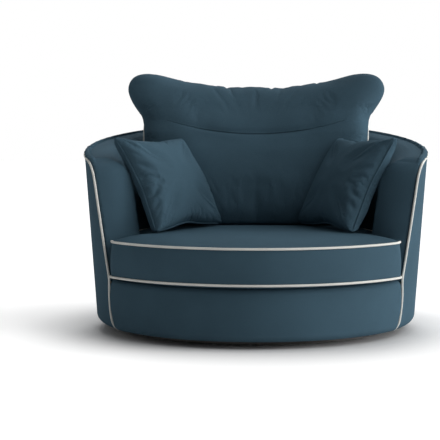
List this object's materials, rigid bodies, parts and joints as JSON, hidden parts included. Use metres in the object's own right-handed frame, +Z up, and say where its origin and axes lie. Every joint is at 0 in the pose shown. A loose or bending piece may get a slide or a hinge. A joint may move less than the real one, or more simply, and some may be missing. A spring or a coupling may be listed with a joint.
{
  "type": "swivel armchair",
  "caption": "Wide round swivel armchair: a padded tub on a hidden ball-bearing turntable, with a boxed seat cushion, a back pillow and square scatter cushions, edged in piping.",
  "frame": {"origin": "on the floor under the middle of the bounding box, which is also the swivel axis to within 10 mm", "axes": "+X across the chair towards the sitter's left arm as seen from the front on the right, the widest way; +Z up along the swivel axis; the chair faces -Y"},
  "size_m": [1.2736, 1.2689, 0.946],
  "materials": {
    "plinth_paint": "stained nearly black, satin",
    "glide_plastic": "moulded, matt",
    "race_steel": "zinc-plated pressed steel",
    "ball_steel": "polished steel",
    "cage_plastic": "natural nylon, matt",
    "screw_steel": "zinc-plated",
    "rail_timber": "planed softwood",
    "post_timber": "planed softwood",
    "plywood": "birch plywood, sanded",
    "board": "thin hardboard",
    "spring_wire": "black-coated spring wire",
    "clip_steel": "zinc-plated",
    "felt": "pressed grey felt",
    "deck_cloth": "black woven cloth",
    "dust_cloth": "thin black non-woven cloth",
    "wall_foam": "foam under the wall's fabric",
    "front_foam": "foam under the front's fabric",
    "seat_foam": "foam block",
    "cover_fabric": "dark slate-blue plain weave",
    "cushion_fabric": "dark slate-blue plain weave",
    "piping_fabric": "off-white bias-cut piping"
  },
  "bodies": {
    "base": {"floor_glides": "glide_plastic", "plinth_ring": "plinth_paint", "plinth_beam_long": "plinth_paint", "plinth_beam_cross": "plinth_paint", "plinth_screws": "screw_steel", "turntable_lower_race": "race_steel", "lower_race_screws": "screw_steel"},
    "ball_cage": {"ball_cage": "cage_plastic", "bearing_balls": "ball_steel"},
    "tub": {"turntable_upper_race": "race_steel", "upper_race_screws": "screw_steel", "cross_rail_left": "rail_timber", "cross_rail_right": "rail_timber", "cross_rail_screws": "screw_steel", "base_hoop": "plywood", "apron_board": "plywood", "arm_post_left": "post_timber", "arm_post_right": "post_timber", "wall_posts": "post_timber", "seat_hoop": "plywood", "rim_rail": "plywood", "outer_board": "board", "inner_board": "board", "spring_clips": "clip_steel", "seat_springs": "spring_wire", "seat_felt": "felt", "platform_cloth": "deck_cloth", "arm_pad_left": "wall_foam", "back_pad": "wall_foam", "arm_pad_right": "wall_foam", "arm_facing_left": "wall_foam", "arm_facing_right": "wall_foam", "front_pad": "front_foam", "front_cover": "cover_fabric", "outer_cover": "cover_fabric", "body_piping": "piping_fabric", "dust_cover": "dust_cloth"},
    "seat_cushion": {"seat_cushion_foam": "seat_foam", "seat_cushion_cover": "cushion_fabric", "seat_cushion_piping_top": "piping_fabric", "seat_cushion_piping_bottom": "piping_fabric"},
    "back_cushion": {"back_cushion": "cushion_fabric"},
    "scatter_left": {"scatter_cushion_left": "cushion_fabric"},
    "scatter_right": {"scatter_cushion_right": "cushion_fabric"}
  },
  "joints": [
    {"name": "swivel", "type": "hinge", "parent": "base", "child": "tub", "pos_m": [0, 0, 0.037], "axis": [0, 0, 1], "continuous": true},
    {"name": "ball_cage_spin", "type": "hinge", "parent": "base", "child": "ball_cage", "pos_m": [0, 0, 0.037], "axis": [0, 0, 1], "continuous": true},
    {"name": "seat_cushion_lift", "type": "slide", "parent": "tub", "child": "seat_cushion", "axis": [0, 0, 1], "range_m": [0, 0.55]},
    {"name": "back_cushion_lift", "type": "slide", "parent": "seat_cushion", "child": "back_cushion", "axis": [0, 0, 1], "range_m": [0, 0.4]},
    {"name": "scatter_left_lift", "type": "slide", "parent": "back_cushion", "child": "scatter_left", "axis": [0, 0, 1], "range_m": [0, 0.4]},
    {"name": "scatter_right_lift", "type": "slide", "parent": "back_cushion", "child": "scatter_right", "axis": [0, 0, 1], "range_m": [0, 0.4]}
  ],
  "couplings": [
    {"joint": "ball_cage_spin", "follows": "swivel", "ratio": 0.5}
  ]
}
